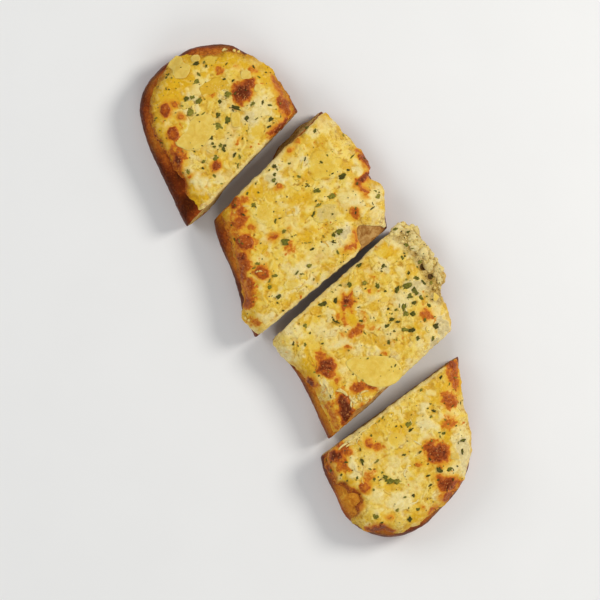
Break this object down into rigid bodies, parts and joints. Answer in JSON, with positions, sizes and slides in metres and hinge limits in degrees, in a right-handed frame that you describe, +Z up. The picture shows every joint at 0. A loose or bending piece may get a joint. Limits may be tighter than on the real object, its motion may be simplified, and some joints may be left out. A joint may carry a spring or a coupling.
{
  "type": "cheesy garlic bread",
  "caption": "Half of a small oval loaf, cut side up, covered with browned melted cheese, hard cheese shavings and herbs, and cut across into pieces that lie in a row.",
  "frame": {"origin": "on the surface that the pieces lie on, under the middle of their bounding box", "axes": "+Y along the loaf, towards its end with the thin shavings; +X across it; +Z up, from the flat base to the cheese"},
  "size_m": [0.1334, 0.347, 0.035],
  "materials": {
    "baked_bread": "dry baked crust, open pale crumb at the cuts",
    "melted_cheese": "soft oily sheen, blistered brown in places",
    "hard_cheese": "smooth, slightly oily"
  },
  "bodies": {
    "root": {"bread_1": "baked_bread", "bread_2": "baked_bread", "bread_3": "baked_bread", "bread_4": "baked_bread", "cheese_1": "melted_cheese", "cheese_2": "melted_cheese", "cheese_3": "melted_cheese", "cheese_4": "melted_cheese", "shaving_01": "hard_cheese", "shaving_02": "hard_cheese", "shaving_03": "hard_cheese", "shaving_04": "hard_cheese", "shaving_05": "hard_cheese", "shaving_06": "hard_cheese", "shaving_07": "hard_cheese", "shaving_08": "hard_cheese", "shaving_09": "hard_cheese", "shaving_10": "hard_cheese", "shaving_11": "hard_cheese", "shaving_12": "hard_cheese"}
  },
  "joints": []
}
